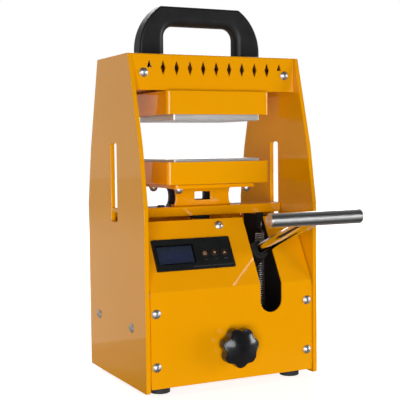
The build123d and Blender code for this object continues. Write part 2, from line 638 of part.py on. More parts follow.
def pedestal(face_y, inward):
    """One waisted web with a window, and its flanges top and bottom. inward is +1 or -1 in Y."""
    low, high = CARRIAGE_TOP, MOUNT_LOW
    middle = (low + high) / 2
    right = ThreePointArc((WEB_HALF, low), (WEB_WAIST, middle), (WEB_HALF, high))
    left = ThreePointArc((-WEB_HALF, high), (-WEB_WAIST, middle), (-WEB_HALF, low))
    outline = make_face(
        [right, Line((WEB_HALF, high), (-WEB_HALF, high)), left,
         Line((-WEB_HALF, low), (WEB_HALF, low))]
    )
    window = Pos(0, middle + 0.7) * RectangleRounded(19.6, 9.0, 1.0)
    start = face_y if inward > 0 else face_y - WEB_THICK
    place = Plane(origin=(0, start + WEB_THICK, 0), x_dir=(1, 0, 0), z_dir=(0, -1, 0))
    web = extrude(place.location * (outline - window), amount=WEB_THICK)
    reach = sorted((face_y, face_y + inward * 9.0))
    for z in ((low, low + 2.0), (high - 2.0, high)):
        web += block((-WEB_HALF, WEB_HALF), reach, z)
    return web


def mount_plate():
    """The plate on the pedestal that carries the heater."""
    plate = block((-47.5, 47.5), (-41.0, 41.0), (MOUNT_LOW, MOUNT_LOW + MOUNT_THICK))
    plate = fillet(plate.edges().filter_by(Axis.Z), 3.0)
    return plate - platen_bolt_holes(MOUNT_LOW, MOUNT_LOW + MOUNT_THICK)


def platen_bolt_holes(low, high):
    """Four holes on the platen bolts' pattern, from just below low to just above high."""
    places = [(x, y) for x in (-BOLT_X, BOLT_X) for y in (-BOLT_Y, BOLT_Y)]
    return Part() + [upright(x, y, low - 1, high + 1, 2.5 + LOOSE) for x, y in places]


def spring_anchor(x, low, high, eye_z):
    """A flat eye for one end of a spring, with a rounded tip."""
    anchor = block((x - 4.0, x + 4.0), (SPRING_Y - 1.5, SPRING_Y + 1.5), (low, high))
    tip = -1 if eye_z > (low + high) / 2 else 0
    anchor = fillet(anchor.edges().filter_by(Axis.Y).group_by(Axis.Z)[tip], 3.5)
    return anchor - rod((x, SPRING_Y - 5, eye_z), (0, 1, 0), 2.4, 10.0)


def return_spring(x):
    """The coil body of a return spring, as a plain tube of its outer shape."""
    coil = upright(x, SPRING_Y, SPRING_LOW, SPRING_HIGH, SPRING_RADIUS)
    bore = SPRING_RADIUS - SPRING_WIRE
    return coil - upright(x, SPRING_Y, SPRING_LOW - 1, SPRING_HIGH + 1, bore)


# ---------------------------------------------------------------- heated platens
def heater_cover(low, height, opening):
    """A five-sided sheet cover. opening is +1 if it opens upwards, -1 if downwards."""
    high = low + height
    cover = block((-COVER_X, COVER_X), (-COVER_Y, COVER_Y), (low, high))
    cover = fillet(cover.edges().filter_by(Axis.Z), 4.0)
    closed = cover.faces().sort_by(Axis.Z)[0 if opening > 0 else -1]
    cover = fillet(closed.edges(), 1.2)
    x, y = COVER_X - SHEET, COVER_Y - SHEET
    z = (low + SHEET, high + 1) if opening > 0 else (low - 1, high - SHEET)
    hollow = block((-x, x), (-y, y), z)
    cover -= fillet(hollow.edges().filter_by(Axis.Z), 2.5)
    return cover - platen_bolt_holes(low, high)


HEATER_YS = (-20.0, 20.0)
HEATER_RADIUS, HEATER_LENGTH = 4.0, 84.0


def platen(low, heated_z):
    """A ground aluminium platen with bores for two heaters and a probe."""
    plate = block((-PLATEN_X, PLATEN_X), (-PLATEN_Y, PLATEN_Y), (low, low + PLATEN_THICK))
    plate = fillet(plate.edges().filter_by(Axis.Z), 2.0)
    plate = chamfer(plate.edges().group_by(Axis.Z)[0] + plate.edges().group_by(Axis.Z)[-1], 0.5)
    for y in HEATER_YS:
        bore = rod((PLATEN_X + 1, y, heated_z), (-1, 0, 0), HEATER_RADIUS + LOOSE, HEATER_LENGTH + 2)
        plate -= bore
    return plate - rod((PLATEN_X + 1, 0, heated_z), (-1, 0, 0), 2.0 + LOOSE, 46.0)


def cartridge_heaters(z):
    """Two cartridge heaters, each with a short ceramic-coloured tail for its leads."""
    heaters = []
    for y in HEATER_YS:
        heater = rod((PLATEN_X + 3.0, y, z), (-1, 0, 0), HEATER_RADIUS, HEATER_LENGTH)
        heaters.append(heater + rod((PLATEN_X + 5.0, y, z), (-1, 0, 0), 2.6, 3.0))
    return heaters


def temperature_probe(z):
    """A sheathed probe in the middle of the platen, with its collar outside."""
    probe = rod((PLATEN_X + 3.0, 0, z), (-1, 0, 0), 2.0, 45.0)
    return probe + rod((PLATEN_X + 5.0, 0, z), (-1, 0, 0), 3.2, 4.0)


def insulators(board, inner):
    """The thin board outside the cover, and the thick block between cover and platen."""
    outside = block((-43.0, 43.0), (-37.0, 37.0), board)
    inside = block((-50.0, 50.0), (-42.0, 42.0), inner)
    holes = platen_bolt_holes(min(board[0], inner[0]), max(board[1], inner[1]))
    return [outside - holes, inside - holes]


def dome_bolts(face_z, inward, reach):
    """Four bolts with dome heads on face_z. inward is the way the shanks run, +1 or -1."""
    dome = Sphere(4.6) & Pos(0, 0, 2.3) * Box(20, 20, 4.6)
    head = Cylinder(5.0, 1.4, align=(Align.CENTER, Align.CENTER, Align.MIN))
    head += Pos(0, 0, 1.0) * dome
    shank = Cylinder(2.5, reach, align=(Align.CENTER, Align.CENTER, Align.MAX))
    bolt = head + shank
    places = [(x, y, face_z) for x in (-BOLT_X, BOLT_X) for y in (-BOLT_Y, BOLT_Y)]
    return [aligned(bolt, place, (0, 0, -inward)) for place in places]


# ---------------------------------------------------------------- lever and pump
def lever_socket():
    """The forged end of the lever: two cheeks on the pivot and a socket for the arm."""
    pin_along, pin_above = CRANK * cos(CRANK_DROP), -CRANK * sin(CRANK_DROP)
    rounds = [
        Circle(9.0),
        Pos(pin_along, pin_above) * Circle(7.5),
        Pos(38.0, 6.0) * Circle(3.5),
        Pos(38.0, -6.0) * Circle(3.5),
    ]
    outline = make_hull([edge for circle in rounds for edge in circle.edges()])
    arm_way = (0, -cos(LEVER_ANGLE), sin(LEVER_ANGLE))
    place = Plane(origin=(LEVER_X, PIVOT_Y, PIVOT_Z), x_dir=arm_way, z_dir=(-1, 0, 0))
    cheeks = extrude(outline, amount=CHEEK_OUT, both=True)
    gap = Pos(0, 0, 0) * Box(2 * 36.0, 60.0, 2 * CHEEK_IN)
    socket = cheeks - gap
    tube = Pos(36.0, 0, 0) * Rot(0, 90, 0) * Cylinder(
        10.0, 19.0, align=(Align.CENTER, Align.CENTER, Align.MIN)
    )
    socket += tube
    socket -= Pos(39.0, 0, 0) * Rot(0, 90, 0) * Cylinder(
        ARM_RADIUS + LOOSE, 30.0, align=(Align.CENTER, Align.CENTER, Align.MIN)
    )
    socket -= Cylinder(4.0 + FIT, 40.0)
    socket -= Pos(pin_along, pin_above) * Cylinder(3.0 + LOOSE, 40.0)
    return place.location * socket


def lever_arm():
    """The round arm, from its socket to the crossbar, which its end is shaped to meet."""
    start_y, start_z = lever_point(39.0, 0.0)
    way = (0, -cos(LEVER_ANGLE), sin(LEVER_ANGLE))
    arm = rod((LEVER_X, start_y, start_z), way, ARM_RADIUS, LEVER_LENGTH - 39.0)
    return arm - rod((0, BAR_Y, BAR_Z), (1, 0, 0), BAR_RADIUS, 100.0)


def lever_crossbar():
    """The T-shaped handle's crossbar."""
    bar = rod((LEVER_X - BAR_LENGTH / 2, BAR_Y, BAR_Z), (1, 0, 0), BAR_RADIUS, BAR_LENGTH)
    return chamfer(bar.edges().filter_by(GeomType.CIRCLE), 0.8)


CRANK_POINT = lever_point(CRANK * cos(CRANK_DROP), -CRANK * sin(CRANK_DROP))


def plunger_pin():
    """The pin across the lever's cheeks that moves the plunger."""
    start = (LEVER_X - CHEEK_OUT, *CRANK_POINT)
    return rod(start, (1, 0, 0), 3.0, 2 * CHEEK_OUT)


def pump_plunger():
    """The plunger: a rod in the pump, with a slotted head that the pin runs in."""
    z = CRANK_POINT[1]
    head = block((LEVER_X - 4.0, LEVER_X + 4.0), (PUMP_Y - 9.0, PUMP_Y + 9.0), (z - 8.0, z + 8.0))
    head = fillet(head.edges().filter_by(Axis.X), 3.0)
    slot = block((0.0, 90.0), (PUMP_Y - 6.0, PUMP_Y + 6.0), (z - 3.6, z + 3.6))
    head -= fillet(slot.edges().filter_by(Axis.X), 2.5)
    return head + upright(LEVER_X, PUMP_Y, 72.0, z - 7.9, PLUNGER_RADIUS)


# ---------------------------------------------------------------- release valve
def valve_knob():
    """The star knob: a domed disc with a wavy rim, and a hub towards the panel."""
    count = 8 * KNOB_LOBES
    points = []
    for i in range(count):
        angle = 2 * pi * i / count + KNOB_TURN
        wave = KNOB_LOBES * 2 * pi * i / count
        radius = KNOB_RADIUS + KNOB_WAVE * (cos(wave) - 0.12 * cos(2 * wave))
        points.append((radius * cos(angle), radius * sin(angle)))
    rim = make_face(Spline(*points, periodic=True))
    place = Plane(origin=(0, KNOB_BACK, VALVE_Z), x_dir=(1, 0, 0), z_dir=(0, -1, 0))
    knob = extrude(place.location * rim, amount=KNOB_BACK - KNOB_FRONT)
    knob &= Pos(0, KNOB_FRONT + KNOB_DOME, VALVE_Z) * Sphere(KNOB_DOME)
    knob += rod((0, KNOB_BACK - 2.0, VALVE_Z), (0, 1, 0), 9.0, 4.5)
    return knob - rod((0, KNOB_BACK + 5.0, VALVE_Z), (0, -1, 0), STEM_RADIUS + FIT, 13.0)


def valve_stem():
    """The valve's stem, from the knob to the cone that seats in the jack."""
    start = KNOB_BACK - 7.5
    length = -12.0 - start
    stem = rod((0, start, VALVE_Z), (0, 1, 0), STEM_RADIUS, length)
    return chamfer(stem.edges().filter_by(GeomType.CIRCLE).sort_by(Axis.Y)[-1], 2.5)


# ---------------------------------------------------------------- every node
def build():
    """Write every node of the press."""
    heater_low_z, heater_high_z = LOWER_PLATEN_TOP - 7.5, UPPER_PLATEN_LOW + 7.5
    cover_high = UPPER_COVER_LOW + UPPER_COVER_HEIGHT
    platen_low = LOWER_PLATEN_TOP - PLATEN_THICK
    platen_high = UPPER_PLATEN_LOW + PLATEN_THICK
    beam_top = BEAM_LOW + BEAM_THICK
    under_board = MOUNT_LOW + MOUNT_THICK

    save("base_plate", base_plate())
    save("left_side_plate", side_plate(-1))
    save("right_side_plate", side_plate(1))
    save("top_beam", top_beam())
    save("mounting_brackets", mounting_brackets())
    save("top_cover", top_cover())
    save("carry_handle", carry_handle())
    save("handle_bolts", handle_bolts())
    save("sheet_screws", screws())
    save("front_panel", front_panel())
    save("rear_panel", rear_panel())
    save("wiring_guard", wiring_guard())
    save("rubber_feet", rubber_feet())
    save("foot_screws", foot_screws())

    save("control_bezel", control_bezel())
    save("display_window", display_window())
    save("control_board", control_board())
    for name, x in zip(("menu_key", "down_key", "up_key"), KEY_XS):
        save(name, control_key(x))
    save("power_inlet", power_inlet())
    save("power_rocker", power_rocker())

    save("jack_base", jack_base())
    save("jack_bolts", jack_bolts())
    save("jack_cylinder", jack_cylinder())
    save("jack_gland_nut", jack_gland_nut())
    save("pump_cylinder", pump_cylinder())
    save("fulcrum_bracket", fulcrum_bracket())
    save("lever_pin", lever_pin())
    save("jack_ram", jack_ram())
    save("ram_saddle", ram_saddle())

    save("carriage_plate", carriage_plate())
    save("cable_grommets", cable_grommets())
    save("pedestal_front", pedestal(WEB_FRONT_Y, 1))
    save("pedestal_rear", pedestal(WEB_REAR_Y, -1))
    save("lower_mount_plate", mount_plate())
    save("lower_insulators", insulators(
        (under_board, LOWER_COVER_LOW), (LOWER_COVER_LOW + SHEET, platen_low)
    ))
    save("lower_heater_cover", heater_cover(LOWER_COVER_LOW, LOWER_COVER_HEIGHT, 1))
    save("lower_platen", platen(platen_low, heater_low_z) - platen_bolt_holes(
        platen_low - 1, platen_low + 4
    ))
    save("lower_cartridge_heaters", cartridge_heaters(heater_low_z))
    save("lower_temperature_probe", temperature_probe(heater_low_z))
    save("lower_platen_bolts", dome_bolts(MOUNT_LOW, 1, platen_low + 4 - MOUNT_LOW))

    save("upper_insulators", insulators(
        (cover_high, BEAM_LOW), (platen_high, cover_high - SHEET)
    ))
    save("upper_heater_cover", heater_cover(UPPER_COVER_LOW, UPPER_COVER_HEIGHT, -1))
    save("upper_platen", platen(UPPER_PLATEN_LOW, heater_high_z) - platen_bolt_holes(
        platen_high - 4, platen_high + 1
    ))
    save("upper_cartridge_heaters", cartridge_heaters(heater_high_z))
    save("upper_temperature_probe", temperature_probe(heater_high_z))
    save("upper_platen_bolts", dome_bolts(beam_top, -1, beam_top - platen_high + 4))

    save("lower_spring_anchors", [
        spring_anchor(x, BASE_TOP, 50.0, 45.5) for x in (-SPRING_X, SPRING_X)
    ])
    save("upper_spring_anchors", [
        spring_anchor(x, 156.0, CARRIAGE_UNDER, 160.5) for x in (-SPRING_X, SPRING_X)
    ])
    save("left_return_spring", return_spring(-SPRING_X))
    save("right_return_spring", return_spring(SPRING_X))

    save("lever_socket", lever_socket())
    save("lever_arm", lever_arm())
    save("lever_crossbar", lever_crossbar())
    save("plunger_pin", plunger_pin())
    save("pump_plunger", pump_plunger())
    save("valve_knob", valve_knob())
    save("valve_stem", valve_stem())


os.makedirs("parts", exist_ok=True)
build()
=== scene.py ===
"""The looks of the tabletop hydraulic heat press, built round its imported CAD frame.

Lengths are metres in the CAD frame: +X right, +Y back, +Z up, origin on the table under the middle
of the footprint. CAD nodes keep their shape and get procedural materials, and sheet parts get
rounded edges. Pieces built here are the coil springs, a finer star knob, the display, the key
symbols and the marks on the bezel.
"""
from math import cos, pi, radians, sin

import bpy
from mathutils import Matrix, Vector


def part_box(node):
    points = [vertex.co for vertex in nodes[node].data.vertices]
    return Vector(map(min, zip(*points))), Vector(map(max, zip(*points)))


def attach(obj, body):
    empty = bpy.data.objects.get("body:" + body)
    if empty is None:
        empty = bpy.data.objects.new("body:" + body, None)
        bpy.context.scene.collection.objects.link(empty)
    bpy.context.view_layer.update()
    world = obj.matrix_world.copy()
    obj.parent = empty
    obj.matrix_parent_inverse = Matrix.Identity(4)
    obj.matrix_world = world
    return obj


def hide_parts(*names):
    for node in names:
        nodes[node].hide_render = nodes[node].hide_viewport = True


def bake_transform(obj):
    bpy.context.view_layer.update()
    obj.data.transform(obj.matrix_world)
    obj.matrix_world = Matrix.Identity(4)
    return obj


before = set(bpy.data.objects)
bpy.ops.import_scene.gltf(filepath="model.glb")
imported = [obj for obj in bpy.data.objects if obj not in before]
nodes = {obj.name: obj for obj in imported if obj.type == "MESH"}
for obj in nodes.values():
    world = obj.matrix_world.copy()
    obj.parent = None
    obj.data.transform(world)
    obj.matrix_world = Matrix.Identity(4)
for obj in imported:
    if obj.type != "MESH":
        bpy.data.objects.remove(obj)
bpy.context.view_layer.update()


# ---------------------------------------------------------------- shader helpers
NOISE_LOW, NOISE_HIGH = 0.3, 0.7       # where most of a noise's values lie


def map_range(tree, value, start, end):
    """value mapped and clipped from one (value, result) pair to another, in a node tree."""
    made = tree.nodes.new("ShaderNodeMapRange")
    made.inputs["From Min"].default_value = start[0]
    made.inputs["From Max"].default_value = end[0]
    made.inputs["To Min"].default_value = start[1]
    made.inputs["To Max"].default_value = end[1]
    tree.links.new(value, made.inputs["Value"])
    return made.outputs["Result"]


class Shader:
    """A node material built round one Principled shader, in object coordinates."""

    def __init__(self, name, **inputs):
        self.material = bpy.data.materials.new(name)
        self.material.use_nodes = True
        self.tree = self.material.node_tree
        self.shader = self.tree.nodes["Principled BSDF"]
        for key, value in inputs.items():
            self.shader.inputs[key.replace("_", " ")].default_value = value
        self.coordinates = self.tree.nodes.new("ShaderNodeTexCoord")

    def node(self, kind, **properties):
        """A new shader node with some properties set."""
        made = self.tree.nodes.new("ShaderNode" + kind)
        for key, value in properties.items():
            setattr(made, key, value)
        return made

    def link(self, output, target):
        """Join an output to an input."""
        self.tree.links.new(output, target)

    def space(self, stretch=(1, 1, 1)):
        """Object coordinates, stretched along the axes."""
        mapping = self.node("Mapping")
        mapping.inputs["Scale"].default_value = stretch
        self.link(self.coordinates.outputs["Object"], mapping.inputs["Vector"])
        return mapping.outputs["Vector"]

    def noise(self, scale, detail, stretch=(1, 1, 1), rough=0.5):
        """A noise pattern with scale features to the metre."""
        made = self.node("TexNoise")
        made.inputs["Scale"].default_value = scale
        made.inputs["Detail"].default_value = detail
        made.inputs["Roughness"].default_value = rough
        self.link(self.space(stretch), made.inputs["Vector"])
        return made.outputs["Fac"]

    def ramp(self, factor, stops):
        """A colour ramp of (position, colour) stops."""
        made = self.node("ValToRGB")
        made.color_ramp.elements[0].position = stops[0][0]
        made.color_ramp.elements[0].color = (*stops[0][1], 1)
        made.color_ramp.elements[1].position = stops[-1][0]
        made.color_ramp.elements[1].color = (*stops[-1][1], 1)
        for position, colour in stops[1:-1]:
            made.color_ramp.elements.new(position).color = (*colour, 1)
        self.link(factor, made.inputs["Fac"])
        return made.outputs["Color"]

    def colour(self, factor, *stops):
        """Base colour that follows a pattern through a ramp."""
        self.link(self.ramp(factor, stops), self.shader.inputs["Base Color"])

    def roughness(self, factor, low, high):
        """Roughness that follows a noise, from low to high."""
        level = map_range(self.tree, factor, (NOISE_LOW, low), (NOISE_HIGH, high))
        self.link(level, self.shader.inputs["Roughness"])

    def bump(self, height, depth, strength, under=None):
        """Bump from a height pattern that is depth metres deep, on top of another bump."""
        made = self.node("Bump")
        made.inputs["Strength"].default_value = strength
        made.inputs["Distance"].default_value = depth
        self.link(height, made.inputs["Height"])
        if under is not None:
            self.link(under, made.inputs["Normal"])
        self.link(made.outputs["Normal"], self.shader.inputs["Normal"])
        return made.outputs["Normal"]


def shade(colour, factor):
    """A colour made lighter or darker."""
    return tuple(channel * factor for channel in colour)


# ---------------------------------------------------------------- materials
ORANGE = (0.82, 0.33, 0.0005)


def powder_coat():
    """Glossy orange powder coat: a faint mottle, and the fine orange peel of a baked film."""
    made = Shader("orange_powder_coat", Roughness=0.05, IOR=1.48)
    made.colour(
        made.noise(9, 3),
        (0.3, shade(ORANGE, 0.98)), (0.5, ORANGE), (0.7, shade(ORANGE, 1.015)),
    )
    made.roughness(made.noise(60, 4), 0.035, 0.07)
    peel = made.bump(made.noise(300, 2), 0.000005, 0.3)
    made.bump(made.noise(2600, 1), 0.000002, 0.3, under=peel)
    return made.material


def satin_black():
    """Moulded black plastic with a fine leather grain."""
    made = Shader("handle_plastic", Roughness=0.45, IOR=1.38)
    made.colour(made.noise(30, 3), (0.3, (0.0075, 0.0075, 0.0082)), (0.7, (0.0115, 0.0115, 0.0125)))
    made.roughness(made.noise(90, 3), 0.38, 0.5)
    made.bump(made.noise(1500, 3, rough=0.65), 0.00006, 0.5)
    return made.material


def black_enamel_and_painted_shade():
    """Semi-gloss black paint on steel, also used as painted shade on the pedestal's rear web."""
    made = Shader("black_enamel_and_painted_shade", Roughness=0.35, IOR=1.5)
    made.colour(made.noise(40, 3), (0.3, (0.010, 0.010, 0.011)), (0.7, (0.017, 0.016, 0.016)))
    made.roughness(made.noise(70, 4), 0.28, 0.42)
    made.bump(made.noise(500, 2), 0.00005, 0.4)
    return made.material


def matte_black_and_painted_shade():
    """Matt black paint on small jack parts, and painted shade on what sits deep in the housing."""
    made = Shader("matte_black_and_painted_shade", Roughness=0.75, IOR=1.3)
    made.colour(made.noise(40, 3), (0.3, (0.008, 0.008, 0.008)), (0.7, (0.013, 0.012, 0.012)))
    made.roughness(made.noise(70, 4), 0.68, 0.82)
    made.bump(made.noise(700, 3), 0.00005, 0.4)
    return made.material


def cast_enamel():
    """Dark paint over a sand casting."""
    made = Shader("cast_enamel", Roughness=0.5)
    made.colour(made.noise(60, 4), (0.3, (0.012, 0.012, 0.013)), (0.7, (0.024, 0.023, 0.023)))
    made.roughness(made.noise(120, 4), 0.42, 0.6)
    made.bump(made.noise(320, 5, rough=0.7), 0.0004, 0.7)
    return made.material


def gloss_black():
    """Polished black phenolic, as on star knobs, with faint flow marks."""
    made = Shader("gloss_black", Roughness=0.16, IOR=1.55)
    made.colour(made.noise(50, 3), (0.3, (0.006, 0.006, 0.007)), (0.7, (0.011, 0.011, 0.013)))
    made.roughness(made.noise(220, 4), 0.13, 0.24)
    made.bump(made.noise(240, 2), 0.00005, 0.25)
    return made.material


def bezel_acrylic():
    """The control unit's smooth black front."""
    made = Shader("bezel_acrylic", Roughness=0.3, IOR=1.49)
    made.colour(made.noise(80, 2), (0.3, (0.007, 0.008, 0.008)), (0.7, (0.010, 0.011, 0.011)))
    made.roughness(made.noise(300, 3), 0.26, 0.34)
    made.bump(made.noise(3000, 2), 0.00001, 0.3)
    return made.material


def key_face():
    """The flush round keys."""
    made = Shader("key_face", Roughness=0.35)
    made.colour(made.noise(200, 2), (0.3, (0.012, 0.010, 0.009)), (0.7, (0.018, 0.014, 0.012)))
    made.bump(made.noise(2500, 2), 0.00001, 0.3)
    return made.material


def zinc_steel():
    """Bright zinc-plated steel, for screws and small hardware."""
    made = Shader("zinc_steel", Metallic=1.0, Roughness=0.25)
    made.colour(
        made.noise(260, 3),
        (0.3, (0.52, 0.52, 0.51)), (0.5, (0.58, 0.58, 0.58)), (0.7, (0.64, 0.64, 0.64)),
    )
    made.roughness(made.noise(500, 3), 0.36, 0.46)
    made.bump(made.noise(1500, 3), 0.00001, 0.5)
    return made.material


def polished_steel():
    """Polished bar with faint polishing lines along Y."""
    made = Shader("polished_steel", Metallic=1.0, Roughness=0.12)
    made.colour(made.noise(60, 3), (0.3, (0.64, 0.63, 0.61)), (0.7, (0.74, 0.73, 0.71)))
    made.roughness(made.noise(900, 3, stretch=(1, 0.03, 1)), 0.07, 0.17)
    made.bump(made.noise(1600, 3, stretch=(1, 0.02, 1)), 0.00001, 0.35)
    return made.material


def brushed_bar():
    """Turned steel bar: fine lines round it spread its highlights along it."""
    made = Shader(
        "brushed_bar", Metallic=1.0, Roughness=0.34, Anisotropic=0.75, Anisotropic_Rotation=0.25
    )
    tangent = made.node("Tangent", direction_type="RADIAL", axis="X")
    made.link(tangent.outputs["Tangent"], made.shader.inputs["Tangent"])
    made.colour(
        made.noise(60, 3),
        (0.3, (0.78, 0.78, 0.77)), (0.5, (0.82, 0.82, 0.81)), (0.7, (0.86, 0.86, 0.85)),
    )
    made.roughness(made.noise(900, 3, stretch=(1, 0.05, 0.05)), 0.325, 0.355)
    return made.material


def ground_aluminium():
    """Ground aluminium: straight grinding lines along X, and slight clouding from heat."""
    made = Shader("ground_aluminium", Metallic=0.7, Roughness=0.42)
    made.colour(
        made.noise(38, 4),
        (0.3, (0.66, 0.66, 0.65)), (0.5, (0.7, 0.7, 0.69)), (0.7, (0.74, 0.74, 0.73)),
    )
    made.roughness(made.noise(900, 4, stretch=(0.02, 1, 1)), 0.34, 0.5)
    made.bump(made.noise(2200, 4, stretch=(0.015, 1, 1)), 0.000008, 0.5)
    return made.material


def foot_rubber():
    """Dull black rubber."""
    made = Shader("foot_rubber", Roughness=0.75)
    made.colour(made.noise(90, 4), (0.3, (0.008, 0.008, 0.008)), (0.7, (0.018, 0.018, 0.018)))
    made.roughness(made.noise(150, 4), 0.65, 0.85)
    made.bump(made.noise(900, 4, rough=0.7), 0.0001, 0.6)
    return made.material


def fibre_board():
    """Pale insulating board, pressed from fibres."""
    made = Shader("fibre_board", Roughness=0.85)
    made.colour(
        made.noise(500, 5, stretch=(1, 1, 0.2)),
        (0.3, (0.16, 0.13, 0.10)), (0.5, (0.24, 0.20, 0.15)), (0.7, (0.31, 0.27, 0.21)),
    )
    made.bump(made.noise(900, 4, stretch=(1, 1, 0.15)), 0.0002, 0.7)
    return made.material


def solder_resist():
    """A green circuit board with a fine pattern of tracks."""
    made = Shader("solder_resist", Roughness=0.3)
    cells = made.node("TexVoronoi", feature="DISTANCE_TO_EDGE", distance="CHEBYCHEV")
    cells.inputs["Scale"].default_value = 260
    made.link(made.space(), cells.inputs["Vector"])
    made.colour(cells.outputs["Distance"], (0.04, (0.03, 0.16, 0.05)), (0.09, (0.005, 0.05, 0.018)))
    made.bump(cells.outputs["Distance"], 0.00003, 0.4)
    return made.material


def window_glass():
    """The display's clear window."""
    made = Shader("window_glass", Roughness=0.04, IOR=1.46, Transmission_Weight=1.0)
    made.colour(made.noise(20, 1), (0.3, (0.80, 0.82, 0.88)), (0.7, (0.84, 0.86, 0.92)))
    made.bump(made.noise(120, 1), 0.00001, 0.1)
    return made.material


def lcd_face():
    """A dim dark blue display over fine stripes, with a painted glow, stronger below its middle,
    standing in for light seen in its window.
    """
    made = Shader("lcd_face", Roughness=0.3)
    rows = made.node("TexWave", wave_type="BANDS", bands_direction="X")
    rows.inputs["Scale"].default_value = 520
    made.link(made.space(), rows.inputs["Vector"])
    made.colour(rows.outputs["Fac"], (0.0, (0.019, 0.026, 0.044)), (1.0, (0.025, 0.033, 0.054)))
    # painted glow: emission, stronger below the display's middle, in place of light reflected in
    # the window
    away = made.node("VectorMath", operation="DISTANCE")
    away.inputs[1].default_value = (0.55, 0.35, 0.35)
    made.link(made.coordinates.outputs["Generated"], away.inputs[0])
    glow = made.ramp(
        away.outputs["Value"], [(0.1, (0.020, 0.025, 0.070)), (0.8, (0.018, 0.027, 0.038))]
    )
    made.link(glow, made.shader.inputs["Emission Color"])
    made.shader.inputs["Emission Strength"].default_value = 0.6
    return made.material


def printed_gold():
    """The pale gold print of the key symbols."""
    made = Shader("printed_gold", Roughness=0.5)
    made.colour(made.noise(1800, 3), (0.3, (0.36, 0.20, 0.075)), (0.7, (0.55, 0.34, 0.15)))
    made.bump(made.noise(4000, 2), 0.00001, 0.3)
    return made.material


def printed_grey():
    """The dull print of the bezel's dashes and hairline."""
    made = Shader("printed_grey", Roughness=0.5)
    made.colour(made.noise(1800, 3), (0.3, (0.05, 0.05, 0.05)), (0.7, (0.09, 0.09, 0.09)))
    return made.material


def printed_rust():
    """The faint dark red circles round the keys."""
    made = Shader("printed_rust", Roughness=0.5)
    made.colour(made.noise(1800, 3), (0.3, (0.045, 0.012, 0.006)), (0.7, (0.07, 0.02, 0.01)))
    return made.material


def socket_plastic():
    """Hard black plastic with a fine spark-eroded texture."""
    made = Shader("socket_plastic", Roughness=0.5)
    made.colour(made.noise(120, 3), (0.3, (0.010, 0.010, 0.011)), (0.7, (0.017, 0.017, 0.018)))
    made.bump(made.noise(2400, 3, rough=0.7), 0.00004, 0.6)
    return made.material


COAT = powder_coat()
HANDLE_PLASTIC = satin_black()
ENAMEL_AND_PAINTED_SHADE = black_enamel_and_painted_shade()
MATTE_AND_PAINTED_SHADE = matte_black_and_painted_shade()
CASTING = cast_enamel()
GLOSS = gloss_black()
BEZEL = bezel_acrylic()
KEY = key_face()
ZINC = zinc_steel()
POLISHED = polished_steel()
BRUSHED = brushed_bar()
ALUMINIUM = ground_aluminium()
RUBBER = foot_rubber()
FIBRE = fibre_board()
BOARD = solder_resist()
GLASS = window_glass()
LCD = lcd_face()
GOLD = printed_gold()
GREY = printed_grey()
RUST = printed_rust()
SOCKET = socket_plastic()

NODE_MATERIALS = {
    COAT: [
        "base_plate", "left_side_plate", "right_side_plate", "top_beam", "mounting_brackets",
        "top_cover", "front_panel", "rear_panel", "upper_heater_cover", "lower_heater_cover",
        "carriage_plate", "pedestal_front", "lower_mount_plate",
    ],
    # pedestal_rear is black as painted shade: the rear web lies in deep shadow behind the front
    # web.
    ENAMEL_AND_PAINTED_SHADE: ["pedestal_rear", "jack_cylinder"],
    # wiring_guard is a black sheet standing in for the shade behind the lever slot; lever_socket
    # and upper_spring_anchors are black as painted shade there too.
    MATTE_AND_PAINTED_SHADE: [
        "lever_socket", "wiring_guard", "jack_gland_nut", "ram_saddle", "lower_spring_anchors",
        "upper_spring_anchors",
    ],
    CASTING: ["jack_base", "fulcrum_bracket"],
    HANDLE_PLASTIC: ["carry_handle"],
    GLOSS: ["power_rocker", "valve_knob"],
    BEZEL: ["control_bezel"],
    KEY: ["menu_key", "down_key", "up_key"],
    SOCKET: ["power_inlet"],
    ZINC: [
        "handle_bolts", "sheet_screws", "foot_screws", "jack_bolts",
        "pump_cylinder", "lever_pin", "plunger_pin",
        "lower_cartridge_heaters", "upper_cartridge_heaters", "lower_temperature_probe",
        "upper_temperature_probe", "lower_platen_bolts", "upper_platen_bolts",
        "left_return_spring", "right_return_spring", "valve_stem",
    ],
    POLISHED: ["lever_arm", "jack_ram", "pump_plunger"],
    BRUSHED: ["lever_crossbar"],
    ALUMINIUM: ["lower_platen", "upper_platen"],
    RUBBER: ["rubber_feet", "cable_grommets"],
    FIBRE: ["lower_insulators", "upper_insulators"],
    BOARD: ["control_board"],
    GLASS: ["display_window"],
}


def paint(piece, material):
    """Give every face of a piece one material."""
    piece.data.materials.clear()
    piece.data.materials.append(material)


for material, names in NODE_MATERIALS.items():
    for name in names:
        paint(nodes[name], material)


# ---------------------------------------------------------------- rounded edges on CAD nodes
SAME_POINT = 0.000005        # points closer than this are one
FLAT, SHARP = radians(0.2), radians(32)


def round_edges(name, width):
    """Break a CAD node's sharp edges with modifiers, as paint or tumbling does."""
    piece = nodes[name]
    weld = piece.modifiers.new("weld", "WELD")
    weld.merge_threshold = SAME_POINT
    flats = piece.modifiers.new("flats", "DECIMATE")
    flats.decimate_type = "DISSOLVE"
    flats.angle_limit = FLAT
    bevel = piece.modifiers.new("edges", "BEVEL")
    bevel.width = width
    bevel.segments = 2
    bevel.limit_method = "ANGLE"
    bevel.angle_limit = SHARP
    bevel.use_clamp_overlap = True
    normals = piece.modifiers.new("normals", "WEIGHTED_NORMAL")
    normals.keep_sharp = True


EDGE_WIDTHS = {
    0.0005: ["left_side_plate", "right_side_plate", "top_cover", "lower_mount_plate"],
    0.0004: ["front_panel", "rear_panel", "carriage_plate", "pedestal_front", "pedestal_rear"],
}
for width, names in EDGE_WIDTHS.items():
    for name in names:
        round_edges(name, width)


